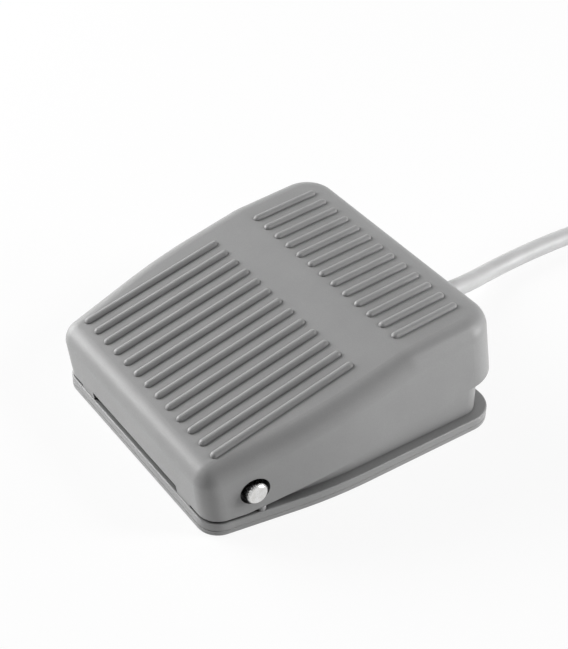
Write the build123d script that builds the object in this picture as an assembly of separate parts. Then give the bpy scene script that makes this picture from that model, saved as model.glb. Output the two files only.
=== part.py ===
from build123d import *
import math
import os

# Foot switch: a ribbed, box-shaped pedal cover hinged on a steel pin near the front edge of a
# flanged base. A coil spring lifts the rear of the cover. Pressing the cover tips it about the pin,
# and a rib under its roof pushes the lever of a snap-action switch that stands in the base.
# Millimetres. X runs across, Y from the hinge end (minus) to the cable end (plus), Z up.
# The origin is on the floor, under the middle of the base.

# Base outline, seen from above: tapered in front, parallel behind the bend
BASE_LENGTH = 94.3
FRONT_WIDTH = 77.7
REAR_WIDTH = 89.2
BEND_Y = -10.7
BEND_RADIUS = 150.0
FRONT_CORNER_RADIUS = 6.5
REAR_CORNER_RADIUS = 8.8
FAR = 70.0

# Heights of the base
FOOT_DROP = 0.15
FLANGE_HEIGHT = 4.1
FLOOR_THICKNESS = 2.6
FLANGE_EDGE_RADIUS = 0.5
SEAM_HEIGHT = 1.7
SEAM_WIDTH = 0.25
SEAM_DEPTH = 0.1
FLOOR_TOP = FOOT_DROP + FLOOR_THICKNESS
FLANGE_TOP = FOOT_DROP + FLANGE_HEIGHT

# Upright wall of the base, inside the cover's skirt
WALL_THICKNESS = 2.0
WALL_SIDE_INSET = 3.0
WALL_FRONT_Y = -41.6
WALL_REAR_Y = 43.2
WALL_DRAFT = 1.0
WALL_TOP_FRONT = 10.5
WALL_TOP_REAR = 21.5

# Pin and what carries it
PIN_Y = -33.8
PIN_Z = 12.5
PIN_DIAMETER = 6.4
PIN_STAND_OUT = 2.0
PIN_DOME_RADIUS = 1.4
BORE_CLEARANCE = 0.05
EAR_INNER_X = 30.3
EAR_THICKNESS = 4.0
EAR_RADIUS = 6.0
CLIP_THICKNESS = 0.8
CLIP_DIAMETER = 10.5
CLIP_GROOVE_DIAMETER = 5.0

# Cover, measured in the rest pose
COVER_FRONT_Y = -47.9
COVER_REAR_Y = 47.4
COVER_THICKNESS = 2.4
COVER_DRAFT = 1.5
REST_TILT = 8.5
PRESS_ANGLE = 7.0
SKIRT_FRONT_Z = 5.15
SKIRT_RISE_Y = -36.0
SKIRT_FRONT_SLOPE = 10.4
SKIRT_REAR_SLOPE = 7.0
CREST_Y = 14.5
CREST_Z = 36.6
CREST_RADIUS = 16.0
FRONT_SLOPE = 13.5
REAR_SLOPE = 4.6
TOP_EDGE_RADIUS = 5.4
COVER_REAR_CORNER_RADIUS = 10.8
BOSS_DIAMETER = 12.0
BOSS_INNER_X = 34.6
COUNTERBORE_DIAMETER = 8.4
COUNTERBORE_INNER_X = 38.0
STOP_PAD_X = (22.5, 29.0)
STOP_PAD_Y = (-46.7, -44.6)
FRONT_RELIEF_Z = 6.8
STOP_GAP = 0.05
CABLE_NOTCH_WIDTH = 12.0
CABLE_NOTCH_TOP_Z = 24.0
WEB_THICKNESS = 1.6
WEB_DEPTH = 3.0
WEB_REACH = 41.0
WEB_PLACES = (-13.2, 40.0)

# Anti-slip ribs on the cover's roof: half-round bars with round ends
RIB_COUNT = 13
RIB_PITCH = 5.5
RIB_RADIUS = 1.25
RIB_HEIGHT = 1.0
LONG_RIB_Y = (-41.9, 1.6)
SHORT_RIB_Y = (15.4, 36.4)

# Snap-action switch, standing with its length along Y
SWITCH_X = (11.5, 21.8)
SWITCH_Y = (8.0, 35.8)
SWITCH_Z = (7.4, 23.3)
SWITCH_LID = 1.6
SWITCH_MIDDLE_X = (SWITCH_X[0] + SWITCH_X[1]) / 2
SWITCH_HOLE_DIAMETER = 3.1
SWITCH_HOLES = ((10.8, 10.2), (33.0, 20.5))
LEVER_PIVOT_Y = 34.2
LEVER_PIVOT_Z = 24.6
LEVER_PIN_DIAMETER = 1.2
LEVER_TIP_Y = 4.5
LEVER_WIDTH = 4.4
LEVER_THICKNESS = 0.5
LEVER_LIFT = 10.0
PLUNGER_Y = 27.0
PLUNGER_SIZE = (2.6, 3.4)
PLUNGER_TRAVEL = 1.2
PUSHER_Y = 6.0
PUSHER_GAP = 0.3
PUSHER_WIDTH = 6.0
PUSHER_THICKNESS = 1.8

# Return spring
SPRING_X = -16.0
SPRING_Y = 13.0
SPRING_DIAMETER = 12.0
SPRING_WIRE = 1.2
SPRING_TURNS = 6.5
SPRING_SEAT_HEIGHT = 1.6
SPRING_TOP_Z = 29.0

# Cable: route of its centre line, from the end of the strain relief, lying down on the floor
CABLE_DIAMETER = 5.8
CABLE_EXIT = (-2.0, 54.0, 8.5)
CABLE_POINTS = [
    CABLE_EXIT,
    (-2.0, 66.2, 8.5),
    (-5.1, 78.0, 5.3),
    (-8.3, 90.0, 3.1),
    (-9.2, 101.0, 2.9),
    (-9.4, 112.5, 2.9),
    (-9.1, 124.0, 2.9),
    (-7.8, 136.3, 2.9),
    (-4.8, 148.5, 2.9),
    (0.0, 160.0, 2.9),
    (6.6, 170.9, 2.9),
]
LEAD_DIAMETER = 1.7
CLAMP_Y = 37.2
CLAMP_BAR_Z = 9.4
CLAMP_BAR_THICKNESS = 3.2
GLAND_NECK_DIAMETER = 8.2
CABLE_TAIL_Y = 30.5
SCREW_PILOT_DIAMETER = 2.4

# Contact blades under the switch, by name, with their place along Y
TERMINALS = {"common": 27.0, "open": 21.5, "closed": 16.0}
TERMINAL_LOW_Z = 4.0

# Feet, stroke pegs and flange pips
FOOT_DIAMETER = 10.0
FOOT_THICKNESS = 1.8
STROKE_PEG_Y = 38.0
STROKE_PEG_HALF = 2.0
STROKE_GAP = 0.08
PIP_Y = -31.3
PIP_RADIUS = 1.4
PIP_HEIGHT = 1.3
PIP_INSET = 0.4


def half_width(y):
    """Half the base's width at a place along its length, corners ignored."""
    front = -BASE_LENGTH / 2
    if y > BEND_Y:
        return REAR_WIDTH / 2
    share = (y - front) / (BEND_Y - front)
    return FRONT_WIDTH / 2 + share * (REAR_WIDTH - FRONT_WIDTH) / 2


def plan(front_y, rear_y, inset=0.0, rear_corner=REAR_CORNER_RADIUS):
    """Outline face on Z = 0 between two end lines, with its sides moved in by an inset."""
    front_x = half_width(front_y) - inset
    rear_x = REAR_WIDTH / 2 - inset
    corners = [
        (front_x, front_y),
        (rear_x, BEND_Y),
        (rear_x, rear_y),
        (-rear_x, rear_y),
        (-rear_x, BEND_Y),
        (-front_x, front_y),
    ]
    front_radius = max(FRONT_CORNER_RADIUS - inset, 1.0)
    rear_radius = max(rear_corner - inset, 1.0)
    radii = [front_radius, BEND_RADIUS, rear_radius, rear_radius, BEND_RADIUS, front_radius]
    return make_face(FilletPolyline(*corners, radius=radii, close=True))


def side_profile(points, radii=None, half_span=60.0):
    """Solid of a side-view polygon, given as (y, z) points, running right across the part."""
    places = [(0, y, z) for y, z in points]
    if radii is None:
        line = Polyline(*places, close=True)
    else:
        line = FilletPolyline(*places, radius=radii, close=True)
    return extrude(make_face(line), amount=half_span, dir=(1, 0, 0), both=True)


def tube_along(points, diameter, radii):
    """Round bar along straight runs joined by tangent arcs."""
    path = FilletPolyline(*points, radius=radii)
    section = Plane(origin=path @ 0, z_dir=path % 0) * Circle(diameter / 2)
    return sweep(section, path=path), path


def route_radii(points):
    """Arc radii for a route: 0.45 of the shorter run over the tangent of half the turn."""
    radii = []
    for before, here, after in zip(points, points[1:], points[2:]):
        run_in = Vector(here) - Vector(before)
        run_out = Vector(after) - Vector(here)
        half_turn = math.radians(run_in.get_angle(run_out)) / 2
        radii.append(0.45 * min(run_in.length, run_out.length) / math.tan(half_turn))
    return radii


def roof_z(y):
    """Height of the cover's bare roof, crest rounding ignored."""
    slope = FRONT_SLOPE if y < CREST_Y else REAR_SLOPE
    return CREST_Z + (y - CREST_Y) * math.tan(math.radians(slope))


def around(middle, half):
    """Range that reaches half a size each way from its middle."""
    return (middle - half, middle + half)


def bar_x(x_from, x_to, radius, y, z):
    """Round bar along X between two places."""
    start = Plane(origin=(x_from, y, z), z_dir=(1, 0, 0))
    return extrude(start * Circle(radius), amount=x_to - x_from)


def bar_y(x, y_range, z, radius):
    """Round bar along Y between two places."""
    start = Plane(origin=(x, y_range[0], z), z_dir=(0, 1, 0))
    return extrude(start * Circle(radius), amount=y_range[1] - y_range[0])


def block(x_range, y_range, z_range):
    """Box between three ranges."""
    middle = [(low + high) / 2 for low, high in (x_range, y_range, z_range)]
    size = [high - low for low, high in (x_range, y_range, z_range)]
    return Pos(*middle) * Box(*size)


def upright(x, y, z_from, z_to, radius):
    """Round post standing between two heights."""
    return Pos(x, y, (z_from + z_to) / 2) * Cylinder(radius, z_to - z_from)


PIN_AXIS = Axis((0, PIN_Y, PIN_Z), (1, 0, 0))


def cover_body(inset, roof_drop, edge_radius, open_below):
    """Walls and roof of the cover as one full body, inset from the outside by a thickness.

    The walls are drawn in the pressed pose, square to the base, and tipped up about the pin.
    """
    outline = plan(COVER_FRONT_Y + inset, COVER_REAR_Y - inset, inset, COVER_REAR_CORNER_RADIUS)
    walls = extrude(outline, amount=60.0, taper=COVER_DRAFT)
    walls = walls.rotate(PIN_AXIS, REST_TILT)

    roof_line = [
        (FAR, roof_z(FAR) - roof_drop),
        (CREST_Y, CREST_Z - roof_drop),
        (-FAR, roof_z(-FAR) - roof_drop),
    ]
    if open_below:
        lower_line = [(-FAR, -FAR), (FAR, -FAR)]
    else:
        bend_z = SKIRT_FRONT_Z + (CREST_Y - SKIRT_RISE_Y) * math.tan(math.radians(SKIRT_FRONT_SLOPE))
        rear_z = bend_z + (FAR - CREST_Y) * math.tan(math.radians(SKIRT_REAR_SLOPE))
        lower_line = [
            (-FAR, SKIRT_FRONT_Z),
            (SKIRT_RISE_Y, SKIRT_FRONT_Z),
            (CREST_Y, bend_z),
            (FAR, rear_z),
        ]
    points = lower_line + roof_line
    radii = [CREST_RADIUS if point == roof_line[1] else 0 for point in points]
    body = walls & side_profile(points, radii)

    roof_edges = [edge for face in body.faces() if face.normal_at().Z > 0.9 for edge in face.edges()]
    rim = [edge for edge in roof_edges if sum(edge.is_same(other) for other in roof_edges) == 1]
    return fillet(rim, radius=edge_radius)


def rib(x, y_from, y_to):
    """One anti-slip rib: a round bar with round ends, laid along the roof and sunk in it."""
    sink = RIB_RADIUS - RIB_HEIGHT
    y_from += RIB_RADIUS * 0.6
    y_to -= RIB_RADIUS * 0.6
    start = Vector(x, y_from, roof_z(y_from) - sink)
    run = Vector(x, y_to, roof_z(y_to) - sink) - start
    length = run.length
    corner = RIB_RADIUS * math.sqrt(0.5)
    half_profile = [
        Line((0, -RIB_RADIUS), (0, length + RIB_RADIUS)),
        ThreePointArc((0, length + RIB_RADIUS), (corner, length + corner), (RIB_RADIUS, length)),
        Line((RIB_RADIUS, length), (RIB_RADIUS, 0)),
        ThreePointArc((RIB_RADIUS, 0), (corner, -corner), (0, -RIB_RADIUS)),
    ]
    bar = revolve(make_face(half_profile), Axis.Y)
    pitch = math.degrees(math.atan2(run.Z, run.Y))
    return Pos(*start) * Rot(pitch, 0, 0) * Rot(0, 90, 0) * bar


def make_pedal_cover():
    """Moulded shell with ribs, pin bosses, front stop pads, pusher rib and spring boss."""
    outside = cover_body(0.0, 0.0, TOP_EDGE_RADIUS, False)
    inside = cover_body(COVER_THICKNESS, COVER_THICKNESS, TOP_EDGE_RADIUS - COVER_THICKNESS, True)
    places = [(index - (RIB_COUNT - 1) / 2) * RIB_PITCH for index in range(RIB_COUNT)]
    ribs = [rib(x, *span) for x in places for span in (LONG_RIB_Y, SHORT_RIB_Y)]
    shell = outside + ribs - inside

    # Bosses that turn on the pin, kept within the outside form
    bosses = bar_x(-FAR, FAR, BOSS_DIAMETER / 2, PIN_Y, PIN_Z)
    bosses -= bar_x(-BOSS_INNER_X, BOSS_INNER_X, BOSS_DIAMETER, PIN_Y, PIN_Z)

    # Rib under the roof that pushes the switch lever
    pusher_x = around(SWITCH_MIDDLE_X, PUSHER_WIDTH / 2)
    nose_radius = PUSHER_THICKNESS / 2
    nose_z = lever_contact_z() + PUSHER_GAP + nose_radius
    pusher = block(pusher_x, around(PUSHER_Y, nose_radius), (nose_z, CREST_Z))
    inner_parts = [pusher + bar_x(*pusher_x, nose_radius, PUSHER_Y, nose_z)]

    # Cross-shaped post that centres the top of the spring, on a flat pad
    post_z = (SPRING_TOP_Z - 5, CREST_Z)
    arm = SPRING_DIAMETER / 2 - SPRING_WIRE - 0.4
    half_web = WEB_THICKNESS / 2
    for along_x, along_y in ((arm, half_web), (half_web, arm)):
        x_range = around(SPRING_X, along_x)
        inner_parts.append(block(x_range, around(SPRING_Y, along_y), post_z))
    inner_parts.append(upright(SPRING_X, SPRING_Y, SPRING_TOP_Z, CREST_Z, SPRING_DIAMETER / 2 + 1.5))

    # Stiffening webs across the roof, on its inside
    for web_y in WEB_PLACES:
        web_low = roof_z(web_y) - COVER_THICKNESS - WEB_DEPTH
        web_y_range = around(web_y, WEB_THICKNESS / 2)
        inner_parts.append(block((-WEB_REACH, WEB_REACH), web_y_range, (web_low, CREST_Z + 2)))

    cover = shell + [bosses & outside] + [part & outside for part in inner_parts]

    # Front edge: raised between two pads that stop on the flange
    relief_x = STOP_PAD_X[0]
    cover -= block((-relief_x, relief_x), (-FAR, STOP_PAD_Y[1] + 1), (0, FRONT_RELIEF_Z))
    for side in (-1, 1):
        pad_x = sorted(side * x for x in STOP_PAD_X)
        cover += block(pad_x, STOP_PAD_Y, (FLANGE_TOP + STOP_GAP, SKIRT_FRONT_Z + 0.4))

    # Arched notch in the rear skirt, which passes over the cable
    arch_radius = CABLE_NOTCH_WIDTH / 2
    arch_z = CABLE_NOTCH_TOP_Z - arch_radius
    notch_y = around(COVER_REAR_Y, 10)
    cover -= block(around(CABLE_EXIT[0], arch_radius), notch_y, (0, arch_z))
    cover -= bar_y(CABLE_EXIT[0], notch_y, arch_z, arch_radius)

    cover -= bar_x(-FAR, FAR, PIN_DIAMETER / 2 + BORE_CLEARANCE, PIN_Y, PIN_Z)
    recess = bar_x(-FAR, FAR, COUNTERBORE_DIAMETER / 2, PIN_Y, PIN_Z)
    recess -= bar_x(-COUNTERBORE_INNER_X, COUNTERBORE_INNER_X, COUNTERBORE_DIAMETER, PIN_Y, PIN_Z)
    return cover - recess


def lever_contact_z():
    """Height of the lever's upper face where the pusher rib meets it, at rest."""
    lift = math.radians(LEVER_LIFT)
    reach = LEVER_PIVOT_Y - PUSHER_Y
    return LEVER_PIVOT_Z + reach * math.tan(lift) + LEVER_THICKNESS / 2 / math.cos(lift)


def make_base_housing():
    """Moulded tray: flange, floor, upright wall, pin ears, switch bracket, posts and spring seat."""
    front = -BASE_LENGTH / 2
    rear = BASE_LENGTH / 2
    plate = extrude(plan(front, rear), amount=FLANGE_HEIGHT)
    rims = plate.faces().sort_by(Axis.Z)[-1].edges() + plate.faces().sort_by(Axis.Z)[0].edges()
    plate = fillet(rims, radius=FLANGE_EDGE_RADIUS)

    # Fine seam line round the flange's edge
    core = plan(front + SEAM_DEPTH, rear - SEAM_DEPTH, SEAM_DEPTH)
    seam = extrude(plan(front - 1, rear + 1, -1) - core, amount=SEAM_WIDTH)
    plate = Pos(0, 0, FOOT_DROP) * (plate - Pos(0, 0, SEAM_HEIGHT) * seam)

    wall_plan = plan(WALL_FRONT_Y, WALL_REAR_Y, WALL_SIDE_INSET)
    wall = Pos(0, 0, FLANGE_TOP - 1) * extrude(wall_plan, amount=30, taper=WALL_DRAFT)
    top_cut = [
        (-70, WALL_TOP_FRONT),
        (WALL_FRONT_Y, WALL_TOP_FRONT),
        (PIN_Y, WALL_TOP_FRONT),
        (WALL_REAR_Y - 6, WALL_TOP_REAR),
        (70, WALL_TOP_REAR),
        (70, 60),
        (-70, 60),
    ]
    wall -= side_profile(top_cut)
    hollow_ends = (WALL_FRONT_Y + WALL_THICKNESS, WALL_REAR_Y - WALL_THICKNESS)
    hollow_plan = plan(*hollow_ends, WALL_SIDE_INSET + WALL_THICKNESS)
    hollow = Pos(0, 0, FLOOR_TOP) * extrude(hollow_plan, amount=FAR)
    base = plate + wall - hollow

    # Gaps in the side walls, where the cover's bosses stand
    gap = BOSS_DIAMETER / 2 + 1.2
    for side in (-1, 1):
        gap_x = sorted((side * (EAR_INNER_X + EAR_THICKNESS), side * 50))
        base -= block(gap_x, around(PIN_Y, gap), (FLANGE_TOP, 40))

    # Ears that hold the pin, braced to the floor
    for side in (-1, 1):
        ear_x = sorted((side * EAR_INNER_X, side * (EAR_INNER_X + EAR_THICKNESS)))
        ear = block(ear_x, around(PIN_Y, EAR_RADIUS), (FLOOR_TOP - 1, PIN_Z))
        ear += bar_x(ear_x[0], ear_x[1], EAR_RADIUS, PIN_Y, PIN_Z)
        brace_x = sorted((side * (EAR_INNER_X - 6), side * EAR_INNER_X))
        brace = block(brace_x, (PIN_Y + 4.2, PIN_Y + 5.8), (FLOOR_TOP - 1, 8.5))
        base += ear + brace
    ear_outer_x = EAR_INNER_X + EAR_THICKNESS
    base -= bar_x(-ear_outer_x - 1, ear_outer_x + 1, PIN_DIAMETER / 2, PIN_Y, PIN_Z)

    base += make_base_posts()

    # Cable way through the rear wall, and screw pilots
    base -= bar_y(CABLE_EXIT[0], around(rear, 6), CABLE_EXIT[2], GLAND_NECK_DIAMETER / 2)
    for x in clamp_screw_x():
        base -= upright(x, CLAMP_Y, CLAMP_BAR_Z - 6.5, CLAMP_BAR_Z + 1, SCREW_PILOT_DIAMETER / 2)
    for y, z in SWITCH_HOLES:
        base -= bar_x(SWITCH_X[0] - 6.5, SWITCH_X[0] + 1, SCREW_PILOT_DIAMETER / 2, y, z)

    # Round recesses for the feet, in the underside
    for x, y in foot_places().values():
        base -= upright(x, y, 0, FOOT_THICKNESS, FOOT_DIAMETER / 2)
    return base


def make_base_posts():
    """Everything that stands on the base's floor, apart from the ears."""
    low = FLOOR_TOP - 1
    posts = Part()

    # Two legs behind the switch, with a boss for each screw
    for y, z in SWITCH_HOLES:
        posts += block((SWITCH_X[0] - 3, SWITCH_X[0]), around(y, 3), (low, z + 3))
        posts += bar_x(SWITCH_X[0] - 6.5, SWITCH_X[0] - 2, 2.6, y, z)
        posts += block((SWITCH_X[0] - 6.5, SWITCH_X[0] - 2), around(y, 0.8), (low, z))

    # Two posts beside the cable, which the clamp bar is screwed to, and a saddle under it
    for x in clamp_screw_x():
        posts += upright(x, CLAMP_Y, low, CLAMP_BAR_Z, 2.8)
    cable_x, _, cable_z = CABLE_EXIT
    saddle = block(around(cable_x, 3.5), around(CLAMP_Y, 1), (low, cable_z - 0.8))
    posts += saddle - bar_y(cable_x, around(CLAMP_Y, 6), cable_z, CABLE_DIAMETER / 2 + 0.05)

    # Seat for the spring: a low ring with a centring stub
    seat_radius = SPRING_DIAMETER / 2 + 1.8
    ring = upright(SPRING_X, SPRING_Y, low, FLOOR_TOP + SPRING_SEAT_HEIGHT + 1.4, seat_radius)
    ring -= upright(SPRING_X, SPRING_Y, FLOOR_TOP + SPRING_SEAT_HEIGHT, 20, SPRING_DIAMETER / 2 + 0.3)
    stub_radius = SPRING_DIAMETER / 2 - SPRING_WIRE - 0.4
    posts += ring + upright(SPRING_X, SPRING_Y, low, FLOOR_TOP + SPRING_SEAT_HEIGHT + 3.5, stub_radius)

    # Low stiffening ribs on the floor
    for x in (-26, 26):
        posts += block(around(x, 0.7), (-24, 24), (low, FLOOR_TOP + 2))
    posts += block((-38, 38), (-22.7, -21.3), (low, FLOOR_TOP + 2))

    # Pegs at the rear corners, which end the cover's stroke
    peg_y = around(STROKE_PEG_Y, STROKE_PEG_HALF)
    peg_top = pressed_roof_z(peg_y[1]) - STROKE_GAP
    for x in (-34, 34):
        posts += block(around(x, STROKE_PEG_HALF), peg_y, (low, peg_top))

    # Small pips on the flange, under the pin ends
    for side in (-1, 1):
        pip_x = side * (half_width(PIP_Y) - PIP_RADIUS - PIP_INSET)
        pip = upright(pip_x, PIP_Y, FLANGE_TOP - 1, FLANGE_TOP + PIP_HEIGHT, PIP_RADIUS)
        posts += fillet(pip.faces().sort_by(Axis.Z)[-1].edges(), radius=0.4)
    return posts


def pressed_roof_z(y):
    """Height of the roof's inner face at a place behind the crest, with the cover pressed down."""
    press = math.radians(PRESS_ANGLE)
    reach = CREST_Y - PIN_Y
    rise = CREST_Z - COVER_THICKNESS - PIN_Z
    crest_y = PIN_Y + reach * math.cos(press) + rise * math.sin(press)
    crest_z = PIN_Z - reach * math.sin(press) + rise * math.cos(press)
    slope = math.radians(REAR_SLOPE - PRESS_ANGLE)
    return crest_z + (y - crest_y) * math.tan(slope)


def clamp_screw_x():
    """Places of the two clamp screws, either side of the cable."""
    return around(CABLE_EXIT[0], 7.5)


def foot_places():
    """Centres of the four feet."""
    front_y = -BASE_LENGTH / 2 + 10
    rear_y = BASE_LENGTH / 2 - 11
    front_x = half_width(front_y) - 9.5
    rear_x = REAR_WIDTH / 2 - 10
    return {
        "foot_front_left": (-front_x, front_y),
        "foot_front_right": (front_x, front_y),
        "foot_rear_left": (-rear_x, rear_y),
        "foot_rear_right": (rear_x, rear_y),
    }


def make_pin():
    """Steel pin right through both sides, with domed ends and a groove for each clip."""
    half = half_width(PIN_Y) - 0.35 + PIN_STAND_OUT
    pin = bar_x(-half, half, PIN_DIAMETER / 2, PIN_Y, PIN_Z)
    pin = fillet(pin.edges().filter_by(GeomType.CIRCLE), radius=PIN_DOME_RADIUS)
    for clip_x in clip_ranges():
        groove = bar_x(*clip_x, PIN_DIAMETER, PIN_Y, PIN_Z)
        pin -= groove - bar_x(*clip_x, CLIP_GROOVE_DIAMETER / 2, PIN_Y, PIN_Z)
    return pin


def clip_ranges():
    """X range of each retaining clip, against the inner face of its ear."""
    return [(-EAR_INNER_X, -EAR_INNER_X + CLIP_THICKNESS), (EAR_INNER_X - CLIP_THICKNESS, EAR_INNER_X)]


def make_clips():
    """Two E-shaped retaining clips, open at the bottom, with three inner lobes."""
    clips = []
    for clip_x in clip_ranges():
        outer = bar_x(*clip_x, CLIP_DIAMETER / 2, PIN_Y, PIN_Z)
        middle = bar_x(*clip_x, PIN_DIAMETER / 2 + 0.6, PIN_Y, PIN_Z)
        lobe_reach = CLIP_DIAMETER / 2 - 1
        lobes = block(clip_x, around(PIN_Y, 1), (PIN_Z, PIN_Z + lobe_reach))
        lobes += block(clip_x, around(PIN_Y, lobe_reach), around(PIN_Z, 1))
        mouth = block(clip_x, around(PIN_Y, 2.4), (PIN_Z - 10, PIN_Z))
        clip = outer - (middle - lobes) - mouth
        clip -= bar_x(*clip_x, CLIP_GROOVE_DIAMETER / 2, PIN_Y, PIN_Z)
        clips.append(clip)
    return Compound(clips)


def make_foot(place):
    """Rubber disc foot with a bevelled lower edge."""
    disc = upright(place[0], place[1], 0, FOOT_THICKNESS, FOOT_DIAMETER / 2)
    lower = disc.edges().filter_by(GeomType.CIRCLE).sort_by(Axis.Z)[0]
    return chamfer(lower, length=0.4)


def make_switch_case():
    """Moulded case of the switch, with a plunger slot in its top and two ears for the lever pin."""
    case = block((SWITCH_X[0], SWITCH_X[1] - SWITCH_LID), SWITCH_Y, SWITCH_Z)
    ends = case.edges().filter_by(Axis.X)
    case = chamfer(ends, length=0.8)

    ear_half = LEVER_WIDTH / 2 + 0.25
    for low, high in ((-ear_half - 0.9, -ear_half), (ear_half, ear_half + 0.9)):
        ear_x = (SWITCH_MIDDLE_X + low, SWITCH_MIDDLE_X + high)
        case += block(ear_x, around(LEVER_PIVOT_Y, 1.2), (SWITCH_Z[1] - 1, LEVER_PIVOT_Z))
        case += bar_x(*ear_x, 1.2, LEVER_PIVOT_Y, LEVER_PIVOT_Z)
    case -= bar_x(SWITCH_X[0], SWITCH_X[1], LEVER_PIN_DIAMETER / 2, LEVER_PIVOT_Y, LEVER_PIVOT_Z)

    # Slot that the plunger slides in
    across, along = (size / 2 + 0.15 for size in PLUNGER_SIZE)
    slot_z = (SWITCH_Z[1] - PLUNGER_TRAVEL - 3.2, SWITCH_Z[1] + 1)
    case -= block(around(SWITCH_MIDDLE_X, across), around(PLUNGER_Y, along), slot_z)

    for y, z in SWITCH_HOLES:
        case -= bar_x(SWITCH_X[0] - 1, SWITCH_X[1] + 1, SWITCH_HOLE_DIAMETER / 2, y, z)
    return case


def make_switch_lid():
    """Side plate of the switch, with a raised rim round each screw hole."""
    lid = block((SWITCH_X[1] - SWITCH_LID, SWITCH_X[1]), SWITCH_Y, SWITCH_Z)
    lid = chamfer(lid.edges().filter_by(Axis.X), length=0.8)
    panel_y = (SWITCH_Y[0] + 6, SWITCH_Y[1] - 6.2)
    panel_z = (SWITCH_Z[0] + 3, SWITCH_Z[1] - 3)
    lid -= block((SWITCH_X[1] - 0.4, SWITCH_X[1] + 1), panel_y, panel_z)
    for y, z in SWITCH_HOLES:
        lid -= bar_x(SWITCH_X[0] - 1, SWITCH_X[1] + 1, SWITCH_HOLE_DIAMETER / 2, y, z)
    return lid


def make_plunger():
    """Switch button: a square peg with a domed top, in its slot."""
    across, along = (size / 2 for size in PLUNGER_SIZE)
    peg_z = (SWITCH_Z[1] - 1.6, plunger_top_z())
    peg = block(around(SWITCH_MIDDLE_X, across), around(PLUNGER_Y, along), peg_z)
    return fillet(peg.faces().sort_by(Axis.Z)[-1].edges(), radius=0.5)


def plunger_top_z():
    """Top of the button at rest, just clear of the lever above it."""
    lift = math.radians(LEVER_LIFT)
    reach = LEVER_PIVOT_Y - PLUNGER_Y - PLUNGER_SIZE[1] / 2
    return LEVER_PIVOT_Z + reach * math.tan(lift) - LEVER_THICKNESS / 2 / math.cos(lift) - 0.1


def make_lever():
    """Sheet-metal lever: an eye rolled round its pin, a long blade and a tip bent over."""
    lever_x = around(SWITCH_MIDDLE_X, LEVER_WIDTH / 2)
    half = LEVER_THICKNESS / 2
    blade = block(lever_x, (LEVER_TIP_Y, LEVER_PIVOT_Y - 0.7), around(LEVER_PIVOT_Z, half))
    tip_y = (LEVER_TIP_Y, LEVER_TIP_Y + LEVER_THICKNESS)
    tip = block(lever_x, tip_y, (LEVER_PIVOT_Z - 1.2, LEVER_PIVOT_Z))
    eye = bar_x(*lever_x, LEVER_PIN_DIAMETER / 2 + 0.55, LEVER_PIVOT_Y, LEVER_PIVOT_Z)
    lever = blade + tip + eye
    lever -= bar_x(*lever_x, LEVER_PIN_DIAMETER / 2 + BORE_CLEARANCE, LEVER_PIVOT_Y, LEVER_PIVOT_Z)
    axis = Axis((0, LEVER_PIVOT_Y, LEVER_PIVOT_Z), (1, 0, 0))
    return lever.rotate(axis, -LEVER_LIFT)


def make_lever_pin():
    """Fine steel pin of the lever."""
    half = LEVER_WIDTH / 2 + 1.15
    return bar_x(*around(SWITCH_MIDDLE_X, half), LEVER_PIN_DIAMETER / 2, LEVER_PIVOT_Y, LEVER_PIVOT_Z)


def make_terminal(y):
    """Flat contact blade under the switch, with a solder hole."""
    blade = block(around(SWITCH_MIDDLE_X, 0.25), around(y, 1.6), (TERMINAL_LOW_Z, SWITCH_Z[0]))
    return blade - bar_x(*around(SWITCH_MIDDLE_X, 1), 0.5, y, TERMINAL_LOW_Z + 1.1)


def make_screw(head_radius, head_height, shank_length):
    """Cross-head screw pointing down, head's under face on Z = 0."""
    head = Pos(0, 0, head_height / 2) * Cylinder(head_radius, head_height)
    head = chamfer(head.edges().filter_by(GeomType.CIRCLE).sort_by(Axis.Z)[-1], length=head_height * 0.4)
    slot = head_radius * 1.1
    cross = Pos(0, 0, head_height) * (Box(slot, 0.5, 1.2) + Box(0.5, slot, 1.2))
    shank = Pos(0, 0, -shank_length / 2) * Cylinder(SCREW_PILOT_DIAMETER / 2, shank_length)
    return head - cross + shank


def make_switch_screws():
    """Two screws through the switch into its legs."""
    screws = []
    length = SWITCH_X[1] - SWITCH_X[0] + 5
    for y, z in SWITCH_HOLES:
        screws.append(Pos(SWITCH_X[1], y, z) * Rot(0, 90, 0) * make_screw(2.7, 1.7, length))
    return Compound(screws)


def make_clamp_screws():
    """Two screws through the clamp bar into its posts."""
    top = CLAMP_BAR_Z + CLAMP_BAR_THICKNESS
    screws = [Pos(x, CLAMP_Y, top) * make_screw(2.6, 1.6, 7.0) for x in clamp_screw_x()]
    return Compound(screws)


def make_clamp_bar():
    """Bar over the cable, with a hollow that grips it and a hole for each screw."""
    cable_x, _, cable_z = CABLE_EXIT
    bar_z = (CLAMP_BAR_Z, CLAMP_BAR_Z + CLAMP_BAR_THICKNESS)
    bar = block(around(cable_x, 10.5), around(CLAMP_Y, 2.4), bar_z)
    bar = fillet(bar.edges().filter_by(Axis.Z), radius=2.2)
    bar -= bar_y(cable_x, around(CLAMP_Y, 6), cable_z, CABLE_DIAMETER / 2)
    for x in clamp_screw_x():
        bar -= upright(x, CLAMP_Y, CLAMP_BAR_Z - 1, CLAMP_BAR_Z + 5, SCREW_PILOT_DIAMETER / 2)
    return bar


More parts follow.
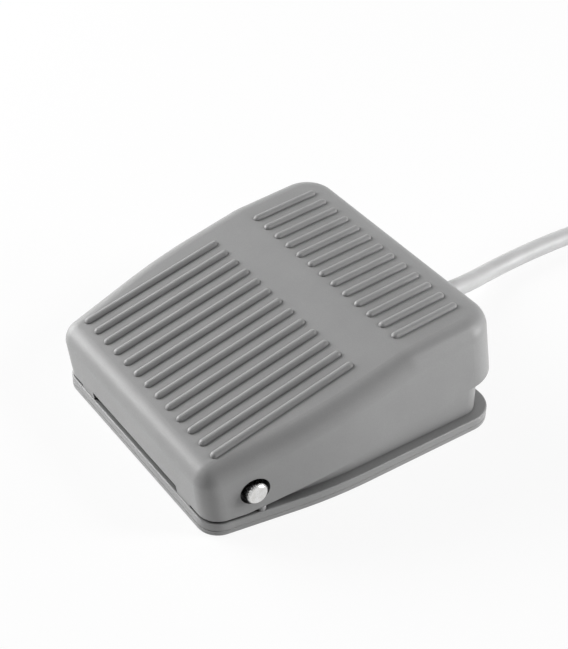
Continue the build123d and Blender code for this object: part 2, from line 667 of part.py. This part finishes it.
def make_gland():
    """Rubber strain relief: collar inside the wall, neck through it and a tapered, grooved sleeve."""
    x, exit_y, z = CABLE_EXIT
    wall_outer = WALL_REAR_Y
    wall_inner = WALL_REAR_Y - WALL_THICKNESS
    points = [
        (CABLE_DIAMETER / 2, wall_inner - 1.4),
        (GLAND_NECK_DIAMETER / 2 + 1.2, wall_inner - 1.4),
        (GLAND_NECK_DIAMETER / 2 + 1.2, wall_inner - 0.02),
        (GLAND_NECK_DIAMETER / 2 - 0.02, wall_inner - 0.02),
        (GLAND_NECK_DIAMETER / 2 - 0.02, wall_outer + 0.3),
        (CABLE_DIAMETER / 2 + 0.7, exit_y),
        (CABLE_DIAMETER / 2, exit_y),
    ]
    profile = make_face(Polyline(*[(r, y, 0) for r, y in points], close=True))
    sleeve = revolve(profile, Axis.Y)
    sleeve = Pos(x, 0, z) * sleeve
    for index in range(3):
        groove_y = wall_outer + 3.0 + index * 2.4
        groove_span = around(groove_y, 0.45)
        ring = bar_y(x, groove_span, z, GLAND_NECK_DIAMETER)
        sleeve -= ring - bar_y(x, groove_span, z, CABLE_DIAMETER / 2 + 0.8)
    return sleeve


def make_cable_tail():
    """The cable's inner end, from inside the clamp to the end of the strain relief."""
    x, exit_y, z = CABLE_EXIT
    return bar_y(x, (CABLE_TAIL_Y, exit_y), z, CABLE_DIAMETER / 2)


def make_inner_lead(index, terminal_y):
    """Insulated wire from the cable's inner end to one blade of the switch."""
    x, _, z = CABLE_EXIT
    radius = LEAD_DIAMETER / 2
    start = (x + (1 - index) * 1.5, CABLE_TAIL_Y, z + (0.9 if index == 1 else -0.5))
    lift_z = TERMINAL_LOW_Z + 1.2
    points = [
        start,
        (start[0], CABLE_TAIL_Y - 1.8 - index, start[2]),
        (5.0 - index * 1.2, terminal_y + 0.8, lift_z + 1.2),
        (10.5, terminal_y, lift_z),
        (SWITCH_MIDDLE_X - 0.25, terminal_y, lift_z),
    ]
    return tube_along(points, 2 * radius, route_radii(points))[0]


def make_spring():
    """Compression spring wound round an upright axis, standing on its seat."""
    seat_z = FLOOR_TOP + SPRING_SEAT_HEIGHT
    height = SPRING_TOP_Z - seat_z - SPRING_WIRE
    mean_radius = (SPRING_DIAMETER - SPRING_WIRE) / 2
    helix = Helix(pitch=height / SPRING_TURNS, height=height, radius=mean_radius)
    section = Plane(origin=helix @ 0, z_dir=helix % 0) * Circle(SPRING_WIRE / 2)
    coil = sweep(section, path=helix)
    return Pos(SPRING_X, SPRING_Y, seat_z + SPRING_WIRE / 2) * coil


def make_cable():
    """Free cable, from the strain relief to where its jacket ends."""
    radii = route_radii(CABLE_POINTS)
    tube, path = tube_along(CABLE_POINTS, CABLE_DIAMETER, radii)
    section = math.pi * CABLE_DIAMETER ** 2 / 4
    print("cable arc radii", [round(radius, 1) for radius in radii])
    print("cable length", round(path.length, 1))
    print("volume over section times length", round(tube.volume / section / path.length, 4))
    return tube


def make_lead_ends():
    """Three insulated wires that leave the end of the cable's jacket, and their bare tips."""
    end = Vector(CABLE_POINTS[-1])
    along = (end - Vector(CABLE_POINTS[-2])).normalized()
    side = Vector(along.Y, -along.X, 0)
    ends = {}
    tips = []
    radius = LEAD_DIAMETER / 2
    for index, name in enumerate(("lead_end_common", "lead_end_open", "lead_end_closed")):
        spread = index - 1
        start = end + side * (spread * 1.5) + Vector(0, 0, -0.5 if spread else 0.9)
        low_z = radius
        points = [
            start,
            start + along * 5,
            start + along * 13 + side * (spread * 2.5) - Vector(0, 0, (start.Z - low_z) * 0.8),
            start + along * 21 + side * (spread * 6.0) - Vector(0, 0, start.Z - low_z),
            start + along * 27 + side * (spread * 9.0) - Vector(0, 0, start.Z - low_z),
        ]
        wire, path = tube_along(points, LEAD_DIAMETER, route_radii(points))
        ends[name] = wire
        tip_plane = Plane(origin=path @ 1, z_dir=path % 1)
        tips.append(extrude(tip_plane * Circle(0.5), amount=6.0))
    ends["lead_tips"] = Compound(tips)
    return ends


os.makedirs("parts", exist_ok=True)

nodes = {
    "pedal_cover": make_pedal_cover(),
    "base_housing": make_base_housing(),
    "pivot_pin": make_pin(),
    "pin_clips": make_clips(),
    "switch_case": make_switch_case(),
    "switch_lid": make_switch_lid(),
    "switch_plunger": make_plunger(),
    "switch_lever": make_lever(),
    "lever_pin": make_lever_pin(),
    "switch_screws": make_switch_screws(),
    "cable_clamp": make_clamp_bar(),
    "clamp_screws": make_clamp_screws(),
    "cable_gland": make_gland(),
    "cable_tail": make_cable_tail(),
    "return_spring": make_spring(),
    "cable": make_cable(),
}
for foot_name, foot_place in foot_places().items():
    nodes[foot_name] = make_foot(foot_place)
for lead_index, (lead_name, blade_y) in enumerate(TERMINALS.items()):
    nodes["terminal_" + lead_name] = make_terminal(blade_y)
    nodes["lead_" + lead_name] = make_inner_lead(lead_index, blade_y)
nodes.update(make_lead_ends())

for node_name, shape in nodes.items():
    export_step(shape, f"parts/{node_name}.step")
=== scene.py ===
import math

import bpy
from mathutils import Matrix, Vector


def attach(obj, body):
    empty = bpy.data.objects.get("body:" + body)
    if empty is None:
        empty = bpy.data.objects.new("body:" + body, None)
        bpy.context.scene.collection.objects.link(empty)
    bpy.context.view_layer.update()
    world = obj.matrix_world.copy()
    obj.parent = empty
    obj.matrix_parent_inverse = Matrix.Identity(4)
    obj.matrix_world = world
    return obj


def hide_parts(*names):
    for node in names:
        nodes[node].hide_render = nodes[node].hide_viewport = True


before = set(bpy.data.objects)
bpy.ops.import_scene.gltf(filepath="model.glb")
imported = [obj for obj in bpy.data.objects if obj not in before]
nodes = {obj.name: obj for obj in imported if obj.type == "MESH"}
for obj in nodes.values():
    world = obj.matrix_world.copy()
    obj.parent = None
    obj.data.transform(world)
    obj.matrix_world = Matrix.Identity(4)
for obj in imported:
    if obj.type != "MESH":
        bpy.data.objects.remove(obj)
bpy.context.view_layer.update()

MM = 0.001

# Camera: the photograph's view, as azimuth, elevation and roll seen from the object
CAMERA_PLACE = Vector((0.26865, -0.18768, 0.28591))
CAMERA_AZIMUTH = math.radians(54.63)
CAMERA_ELEVATION = math.radians(38.44)
CAMERA_ROLL = math.radians(-1.14)
FOCAL_PIXELS = 1492.99
IMAGE_HEIGHT = 649
SENSOR = 36.0
NEAREST_SEEN = 0.01
FARTHEST_SEEN = 20

# Cable, as in the part: route of its centre line in millimetres
CABLE_DIAMETER = 5.8 * MM
CABLE_EXIT = (-2.0, 54.0, 8.5)
CABLE_ROUTE = [
    CABLE_EXIT,
    (-2.0, 66.2, 8.5),
    (-5.1, 78.0, 5.3),
    (-8.3, 90.0, 3.1),
    (-9.2, 101.0, 2.9),
    (-9.4, 112.5, 2.9),
    (-9.1, 124.0, 2.9),
    (-7.8, 136.3, 2.9),
    (-4.8, 148.5, 2.9),
    (0.0, 160.0, 2.9),
    (6.6, 170.9, 2.9),
]
CABLE_STEPS_PER_POINT = 12
CABLE_ROUNDNESS = 7

# Lamps: name, direction from the object, distance in metres, disc size in metres, watts
LAMP_AIM = Vector((0, 0, 0.02))
LAMPS = [
    ("key_lamp", (-0.66, -0.6, 0.44), 1.4, 0.8, 8.8),
    ("left_lamp", (-0.9, -0.4, 0.32), 1.0, 0.9, 13.5),
    ("rear_right_lamp", (0.62, 0.77, 0.2), 0.6, 0.26, 2.1),
    ("rear_high_lamp", (0.52, 0.56, 0.6), 0.8, 0.2, 2.2),
]

# Surroundings: strength of scattered room light, and the paper floor just under the feet
ROOM_LIGHT = 0.02
FLOOR_REACH = 3.0
FLOOR_LEVEL = -0.05 * MM
PAPER = 0.95
PAPER_GLOW = 0.9
WHITE = 1.0

# Patterns: the span most noise values lie in, and rays for the test of narrow places
NOISE_SPAN = (0.35, 0.65)
OPENNESS_RAYS = 8

# Moulded plastic: strength of its mirror-like sheen, sizes and depths of its marks, and reach of
# the painted shade in its corners and gaps
SATIN = 0.34
FLOW_SIZE = 14 * MM
FLOW_DEPTH = 0.05 * MM
GRAIN_SIZE = 0.32 * MM
GRAIN_DEPTH = 0.016 * MM
SCUFF_SIZE = 1.2 * MM
SCUFF_STRETCH = (0.25, 1.0, 1.0)
# Painted shade: reach of the darkening at small edges and in gaps between pieces
EDGE_SHADE_REACH = 1.1 * MM
GAP_SHADE_REACH = 7 * MM

# Factors on the coordinates of metal: a small one draws the grain out along its axis
ROLLED = (1.0, 0.08, 1.0)
DRAWN = (1.0, 1.0, 0.3)
LAID_STRANDS = (1.0, 0.15, 1.0)


def add_camera():
    """Camera at the photograph's viewpoint."""
    back = Vector((
        math.sin(CAMERA_AZIMUTH) * math.cos(CAMERA_ELEVATION),
        -math.cos(CAMERA_AZIMUTH) * math.cos(CAMERA_ELEVATION),
        math.sin(CAMERA_ELEVATION),
    ))
    right = Vector((0, 0, 1)).cross(back).normalized()
    up = back.cross(right)
    level = Matrix((right, up, back)).transposed()
    data = bpy.data.cameras.new("camera")
    data.sensor_fit = "VERTICAL"
    data.sensor_height = SENSOR
    data.lens = FOCAL_PIXELS / IMAGE_HEIGHT * SENSOR
    data.clip_start = NEAREST_SEEN
    data.clip_end = FARTHEST_SEEN
    camera = bpy.data.objects.new("camera", data)
    turn = Matrix.Rotation(-CAMERA_ROLL, 3, "Z")
    camera.matrix_world = Matrix.Translation(CAMERA_PLACE) @ (level @ turn).to_4x4()
    bpy.context.scene.collection.objects.link(camera)
    bpy.context.scene.camera = camera


class Shader:
    """One material's node tree, with a Principled shader at its end."""

    def __init__(self, name, colour, metallic=0.0):
        self.material = bpy.data.materials.new(name)
        self.material.use_nodes = True
        self.tree = self.material.node_tree
        self.shader = self.tree.nodes["Principled BSDF"]
        self.shader.inputs["Base Color"].default_value = (*colour, 1)
        self.shader.inputs["Metallic"].default_value = metallic
        self.place = self.add("ShaderNodeTexCoord").outputs["Object"]
        self.first_colour = colour
        self.colour = None
        self.normal = None

    def add(self, kind, **settings):
        """New node with its settings."""
        node = self.tree.nodes.new(kind)
        for key, value in settings.items():
            setattr(node, key, value)
        return node

    def link(self, source, target):
        self.tree.links.new(source, target)

    def stretched(self, stretch):
        """Object coordinates scaled along each axis, to draw a grain out into lines."""
        node = self.add("ShaderNodeVectorMath", operation="MULTIPLY")
        self.link(self.place, node.inputs[0])
        node.inputs[1].default_value = stretch
        return node.outputs["Vector"]

    def noise(self, size, detail=2.0, roughness=0.5, stretch=None):
        """Cloudy pattern whose features have about the given size."""
        node = self.add("ShaderNodeTexNoise")
        node.inputs["Scale"].default_value = 1 / size
        node.inputs["Detail"].default_value = detail
        node.inputs["Roughness"].default_value = roughness
        place = self.stretched(stretch) if stretch else self.place
        self.link(place, node.inputs["Vector"])
        return node.outputs["Fac"]

    def cells(self, size):
        """Distance to the nearest of scattered points that lie about the given size apart."""
        node = self.add("ShaderNodeTexVoronoi")
        node.inputs["Scale"].default_value = 1 / size
        self.link(self.place, node.inputs["Vector"])
        return node.outputs["Distance"]

    def axis_distance(self, centre):
        """Distance from an axis that runs along X through a centre."""
        shift = self.add("ShaderNodeVectorMath", operation="SUBTRACT")
        self.link(self.place, shift.inputs[0])
        shift.inputs[1].default_value = centre
        flat = self.add("ShaderNodeVectorMath", operation="MULTIPLY")
        self.link(shift.outputs["Vector"], flat.inputs[0])
        flat.inputs[1].default_value = (0, 1, 1)
        length = self.add("ShaderNodeVectorMath", operation="LENGTH")
        self.link(flat.outputs["Vector"], length.inputs[0])
        return length.outputs["Value"]

    def openness(self, reach, only_local):
        """Share of a point's view that nothing blocks within a reach."""
        node = self.add(
            "ShaderNodeAmbientOcclusion", samples=OPENNESS_RAYS, only_local=only_local
        )
        node.inputs["Distance"].default_value = reach
        return node.outputs["AO"]

    def crevice(self, reach):
        """1 in a piece's own tight corners within a reach, 0 on its open surfaces."""
        return self.remap(self.openness(reach, True), 1, 0, (0.1, 0.9))

    def gap(self, reach):
        """1 deep in a narrow gap between any pieces, 0 where half of the view is free."""
        return self.remap(self.openness(reach, False), 1, 0, (0.1, 0.58))

    def along(self, vector, axis):
        """One axis of a vector."""
        node = self.add("ShaderNodeSeparateXYZ")
        self.link(vector, node.inputs[0])
        return node.outputs[axis]

    def above(self, height):
        """1 over a height in the object, 0 under it."""
        return self.remap(self.along(self.place, "Z"), 0, 1, (height - 0.4 * MM, height))

    def flank(self):
        """1 on the faces that run along X, 0 on the ends that face along it."""
        normal = self.add("ShaderNodeTexCoord").outputs["Normal"]
        size = self.add("ShaderNodeMath", operation="ABSOLUTE")
        self.link(self.along(normal, "X"), size.inputs[0])
        return self.remap(size.outputs[0], 1, 0, (0.2, 0.8))

    def both(self, first, second):
        """High only where two masks are high."""
        node = self.add("ShaderNodeMath", operation="MULTIPLY")
        self.link(first, node.inputs[0])
        self.link(second, node.inputs[1])
        return node.outputs[0]

    def ripple(self, source, spacing):
        """Fine rings or lines from a distance, one for each spacing."""
        node = self.add("ShaderNodeMath", operation="PINGPONG")
        self.link(source, node.inputs[0])
        node.inputs[1].default_value = spacing
        return self.remap(node.outputs[0], 0, 1, (0, spacing))

    def remap(self, source, low, high, span=NOISE_SPAN):
        """Low to high as the source goes through a span, and no further."""
        node = self.add("ShaderNodeMapRange")
        node.inputs["From Min"].default_value = span[0]
        node.inputs["From Max"].default_value = span[1]
        node.inputs["To Min"].default_value = low
        node.inputs["To Max"].default_value = high
        self.link(source, node.inputs["Value"])
        return node.outputs["Result"]

    def paint(self, mask, colour):
        """Lay a colour over what is there, where the mask is high."""
        node = self.add("ShaderNodeMix", data_type="RGBA")
        self.link(mask, node.inputs["Factor"])
        if self.colour is None:
            node.inputs["A"].default_value = (*self.first_colour, 1)
        else:
            self.link(self.colour, node.inputs["A"])
        node.inputs["B"].default_value = (*colour, 1)
        self.colour = node.outputs["Result"]
        self.link(self.colour, self.shader.inputs["Base Color"])

    def rough(self, source, low, high):
        """Roughness that goes from low to high with a pattern."""
        self.link(self.remap(source, low, high), self.shader.inputs["Roughness"])

    def bump(self, source, depth):
        """Raise the surface by a pattern, over any bump that is there."""
        node = self.add("ShaderNodeBump")
        node.inputs["Distance"].default_value = depth
        self.link(source, node.inputs["Height"])
        if self.normal is not None:
            self.link(self.normal, node.inputs["Normal"])
        self.normal = node.outputs["Normal"]
        self.link(self.normal, self.shader.inputs["Normal"])


def linear(level):
    """Linear value of an sRGB level out of 255."""
    share = level / 255
    return share / 12.92 if share <= 0.04045 else ((share + 0.055) / 1.055) ** 2.4


def rgb(red, green, blue):
    """Linear colour of three levels out of 255."""
    return (linear(red), linear(green), linear(blue))


def grey(level):
    """Linear colour of one level out of 255."""
    return rgb(level, level, level)


def shade(colour, factor):
    """A colour made lighter or darker."""
    return tuple(min(value * factor, 1.0) for value in colour)


def moulded(name, colour, rough, corner_shade_reach, unshaded_height=0.0):
    """Moulded plastic: flow marks, a spark-eroded grain, light scuffs, and painted shade in its
    corners and in narrow gaps between pieces, above a height.
    """
    skin = Shader(name, colour)
    skin.shader.inputs["Specular IOR Level"].default_value = SATIN
    flow = skin.noise(FLOW_SIZE, detail=4.0, roughness=0.55)
    skin.paint(skin.remap(flow, 0, 1), shade(colour, 1.07))
    fine = skin.noise(GRAIN_SIZE, detail=3.0, roughness=0.65)
    skin.paint(skin.remap(fine, 0, 0.5, (0.35, 0.75)), shade(colour, 0.9))
    scuffs = skin.noise(SCUFF_SIZE, detail=5.0, roughness=0.7, stretch=SCUFF_STRETCH)
    skin.paint(skin.remap(scuffs, 0, 0.35, (0.62, 0.8)), shade(colour, 1.35))
    # Painted shade: darker in the piece's own corners and in narrow gaps between pieces, only
    # above the given height
    painted_shade_zone = skin.above(unshaded_height)
    skin.paint(skin.both(painted_shade_zone, skin.crevice(corner_shade_reach)), shade(colour, 0.25))
    skin.paint(skin.both(painted_shade_zone, skin.crevice(EDGE_SHADE_REACH)), shade(colour, 0.4))
    skin.paint(skin.both(painted_shade_zone, skin.gap(GAP_SHADE_REACH)), shade(colour, 0.1))
    skin.rough(fine, rough - 0.07, rough + 0.07)
    skin.bump(flow, FLOW_DEPTH)
    skin.bump(fine, GRAIN_DEPTH)
    return skin.material


def vinyl(name, colour, rough=0.36):
    """Smooth drawn cable jacket, a little uneven and handled."""
    skin = Shader(name, colour)
    cloud = skin.noise(6 * MM, detail=3.0)
    skin.paint(skin.remap(cloud, 0, 1), shade(colour, 0.93))
    marks = skin.noise(0.8 * MM, detail=4.0, roughness=0.7)
    skin.paint(skin.remap(marks, 0, 0.4, (0.6, 0.8)), shade(colour, 0.75))
    skin.rough(marks, rough - 0.06, rough + 0.1)
    skin.bump(cloud, 0.06 * MM)
    skin.bump(skin.noise(0.25 * MM, detail=2.0), 0.004 * MM)
    return skin.material


def rubber(name, colour):
    """Matt rubber with a dusty bloom."""
    skin = Shader(name, colour)
    dust = skin.noise(3 * MM, detail=5.0, roughness=0.7)
    skin.paint(skin.remap(dust, 0, 0.6), shade(colour, 2.2))
    grain = skin.noise(0.2 * MM, detail=3.0, roughness=0.6)
    skin.rough(grain, 0.65, 0.9)
    skin.bump(grain, 0.012 * MM)
    return skin.material


def phenolic(name, colour, rough):
    """Dark switch moulding with pale specks of filler."""
    skin = Shader(name, colour)
    specks = skin.cells(0.45 * MM)
    skin.paint(skin.remap(specks, 0.5, 0, (0.08, 0.3)), shade(colour, 3.0))
    grain = skin.noise(0.2 * MM, detail=3.0)
    skin.rough(grain, rough - 0.08, rough + 0.08)
    skin.bump(grain, 0.006 * MM)
    return skin.material


def metal_skin(name, colour, rough, stain, stretch=None):
    """Metal with a drawn, rolled or mottled grain and a thin stain, open to more patterns."""
    skin = Shader(name, colour, 1.0)
    cloud = skin.noise(2.5 * MM, detail=4.0, roughness=0.6)
    skin.paint(skin.remap(cloud, 0, 0.7), stain)
    grain = skin.noise(0.22 * MM, detail=4.0, roughness=0.65, stretch=stretch)
    skin.paint(skin.remap(grain, 0, 0.35), shade(colour, 0.6))
    skin.rough(grain, rough - 0.07, rough + 0.1)
    skin.bump(grain, 0.003 * MM)
    return skin


def metal(name, colour, rough, stain, stretch=None):
    """Finished metal."""
    return metal_skin(name, colour, rough, stain, stretch).material


def middle(node):
    """Centre of a node's own box, in its own coordinates."""
    corners = [Vector(corner) for corner in node.bound_box]
    return sum(corners, Vector()) / len(corners)


def turned_steel(name):
    """Bright pin steel with mottled plating, fine turning rings about the pin's axis, and a
    painted dark reflection streaked along its flank.
    """
    skin = metal_skin(name, grey(228), 0.2, rgb(205, 203, 198))
    rings = skin.ripple(skin.axis_distance(middle(nodes["pivot_pin"])), 0.11 * MM)
    skin.bump(rings, 0.002 * MM)
    pits = skin.cells(0.7 * MM)
    skin.bump(skin.remap(pits, 0, 1, (0.0, 0.35)), 0.01 * MM)
    # Painted reflection: dark streaks on the pin's flank, which stand in for the dark hole it
    # mirrors
    reflection_streaks = skin.noise(0.5 * MM, detail=3.0, roughness=0.6)
    painted_dark_reflection = skin.both(skin.flank(), skin.remap(reflection_streaks, 1, 0.25, (0.45, 0.6)))
    skin.paint(painted_dark_reflection, grey(58))
    return skin.material


def stranded(name):
    """Tinned copper strands laid along the wire."""
    skin = metal_skin(name, grey(200), 0.3, rgb(196, 172, 150))
    strands = skin.noise(0.25 * MM, detail=1.0, roughness=0.4, stretch=LAID_STRANDS)
    skin.bump(strands, 0.05 * MM)
    return skin.material


# Each look: its maker, then its colour and what else the maker asks for
LOOKS = {
    # Moulded plastics: colour, roughness, reach of the painted shade in corners, and the height
    # that shade starts at
    "cover_plastic": (moulded, grey(151), 0.42, 4 * MM),
    "base_plastic": (moulded, grey(153), 0.36, 9 * MM, 2.8 * MM),
    "clamp_plastic": (moulded, grey(140), 0.45, 4 * MM),
    "pin_steel": (turned_steel,),
    "clip_steel": (metal, rgb(96, 94, 96), 0.35, rgb(74, 66, 60)),
    "lever_steel": (metal, grey(205), 0.25, rgb(190, 188, 180), ROLLED),
    "screw_steel": (metal, rgb(208, 210, 214), 0.28, rgb(196, 192, 170)),
    "spring_steel": (metal, grey(186), 0.26, rgb(150, 146, 140), DRAWN),
    "contact_brass": (metal, rgb(214, 182, 116), 0.28, rgb(170, 128, 74)),
    "tinned_copper": (stranded,),
    "switch_plastic": (phenolic, grey(34), 0.45),
    "lid_plastic": (phenolic, grey(44), 0.38),
    "plunger_plastic": (vinyl, rgb(196, 52, 40), 0.3),
    "gland_rubber": (rubber, grey(44)),
    "foot_rubber": (rubber, grey(38)),
    "cable_jacket": (vinyl, grey(197), 0.42),
    "lead_brown": (vinyl, rgb(104, 66, 44)),
    "lead_blue": (vinyl, rgb(52, 96, 168)),
    "lead_black": (vinyl, grey(38)),
}

# The nodes that wear each look
WEARERS = {
    "cover_plastic": ["pedal_cover"],
    "base_plastic": ["base_housing"],
    "clamp_plastic": ["cable_clamp"],
    "pin_steel": ["pivot_pin"],
    "clip_steel": ["pin_clips"],
    "lever_steel": ["switch_lever", "lever_pin"],
    "screw_steel": ["switch_screws", "clamp_screws"],
    "spring_steel": ["return_spring"],
    "contact_brass": ["terminal_common", "terminal_open", "terminal_closed"],
    "tinned_copper": ["lead_tips"],
    "switch_plastic": ["switch_case"],
    "lid_plastic": ["switch_lid"],
    "plunger_plastic": ["switch_plunger"],
    "gland_rubber": ["cable_gland"],
    "foot_rubber": ["foot_front_left", "foot_front_right", "foot_rear_left", "foot_rear_right"],
    "cable_jacket": ["cable_tail", "cable"],
    "lead_brown": ["lead_common", "lead_end_common"],
    "lead_blue": ["lead_open", "lead_end_open"],
    "lead_black": ["lead_closed", "lead_end_closed"],
}


def dress_nodes():
    """Make every look and put it on its nodes; gives the looks by name."""
    looks = {name: maker(name, *values) for name, (maker, *values) in LOOKS.items()}
    for look_name, wearers in WEARERS.items():
        for node_name in wearers:
            for material_slot in nodes[node_name].material_slots:
                material_slot.material = looks[look_name]
    return looks


def add_cable(material):
    """Free cable as a spline on the part's own points, with its bare leads at the far end."""
    curve = bpy.data.curves.new("cable_jacket", "CURVE")
    curve.dimensions = "3D"
    spline = curve.splines.new("NURBS")
    spline.points.add(len(CABLE_ROUTE) - 1)
    for point, place in zip(spline.points, CABLE_ROUTE):
        point.co = (*(Vector(place) * MM), 1)
    spline.order_u = 3
    spline.use_endpoint_u = True
    spline.resolution_u = CABLE_STEPS_PER_POINT
    curve.bevel_depth = CABLE_DIAMETER / 2
    curve.bevel_resolution = CABLE_ROUNDNESS
    curve.use_fill_caps = True
    cable = bpy.data.objects.new("cable_jacket", curve)
    bpy.context.scene.collection.objects.link(cable)
    curve.materials.append(material)
    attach(cable, "base")
    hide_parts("cable")


def seen_straight(tree):
    """1 for what the camera, a reflection or a clear material sees, 0 for scattered light."""
    path = tree.nodes.new("ShaderNodeLightPath")
    total = path.outputs["Is Camera Ray"]
    for name in ("Is Glossy Ray", "Is Transmission Ray"):
        highest = tree.nodes.new("ShaderNodeMath")
        highest.operation = "MAXIMUM"
        tree.links.new(total, highest.inputs[0])
        tree.links.new(path.outputs[name], highest.inputs[1])
        total = highest.outputs[0]
    return total


def add_floor():
    """White paper floor, which glows toward the camera but keeps the object's shadow."""
    mesh = bpy.data.meshes.new("floor")
    turns = ((-1, -1), (1, -1), (1, 1), (-1, 1))
    corners = [(x * FLOOR_REACH, y * FLOOR_REACH, FLOOR_LEVEL) for x, y in turns]
    mesh.from_pydata(corners, [], [(0, 1, 2, 3)])
    floor = bpy.data.objects.new("floor", mesh)
    bpy.context.scene.collection.objects.link(floor)
    material = bpy.data.materials.new("floor_paper")
    material.use_nodes = True
    tree = material.node_tree
    tree.nodes.clear()
    output = tree.nodes.new("ShaderNodeOutputMaterial")
    paper = tree.nodes.new("ShaderNodeBsdfDiffuse")
    paper.inputs["Color"].default_value = (PAPER, PAPER, PAPER, 1)
    glow = tree.nodes.new("ShaderNodeEmission")
    glow.inputs["Strength"].default_value = WHITE
    share = tree.nodes.new("ShaderNodeMath")
    share.operation = "MULTIPLY"
    share.inputs[1].default_value = PAPER_GLOW
    tree.links.new(seen_straight(tree), share.inputs[0])
    mix = tree.nodes.new("ShaderNodeMixShader")
    tree.links.new(share.outputs[0], mix.inputs["Fac"])
    tree.links.new(paper.outputs[0], mix.inputs[1])
    tree.links.new(glow.outputs[0], mix.inputs[2])
    tree.links.new(mix.outputs[0], output.inputs["Surface"])
    mesh.materials.append(material)


def add_world():
    """Dim room for scattered light, plain white for the camera and for reflections."""
    world = bpy.data.worlds.new("studio")
    bpy.context.scene.world = world
    world.use_nodes = True
    tree = world.node_tree
    tree.nodes.clear()
    output = tree.nodes.new("ShaderNodeOutputWorld")
    room = tree.nodes.new("ShaderNodeBackground")
    room.inputs["Strength"].default_value = ROOM_LIGHT
    white = tree.nodes.new("ShaderNodeBackground")
    white.inputs["Strength"].default_value = WHITE
    for background in (room, white):
        background.inputs["Color"].default_value = (1, 1, 1, 1)
    mix = tree.nodes.new("ShaderNodeMixShader")
    tree.links.new(seen_straight(tree), mix.inputs["Fac"])
    tree.links.new(room.outputs[0], mix.inputs[1])
    tree.links.new(white.outputs[0], mix.inputs[2])
    tree.links.new(mix.outputs[0], output.inputs["Surface"])


def add_lamp(name, direction, distance, size, watts):
    """Disc lamp that looks at the object from a direction."""
    data = bpy.data.lights.new(name, "AREA")
    data.shape = "DISK"
    data.size = size
    data.energy = watts
    lamp = bpy.data.objects.new(name, data)
    toward = Vector(direction).normalized()
    lamp.location = LAMP_AIM + toward * distance
    lamp.rotation_euler = toward.to_track_quat("Z", "Y").to_euler()
    bpy.context.scene.collection.objects.link(lamp)


add_camera()
add_floor()
add_world()
for lamp_values in LAMPS:
    add_lamp(*lamp_values)

add_cable(dress_nodes()["cable_jacket"])

bpy.context.scene.view_settings.view_transform = "Standard"
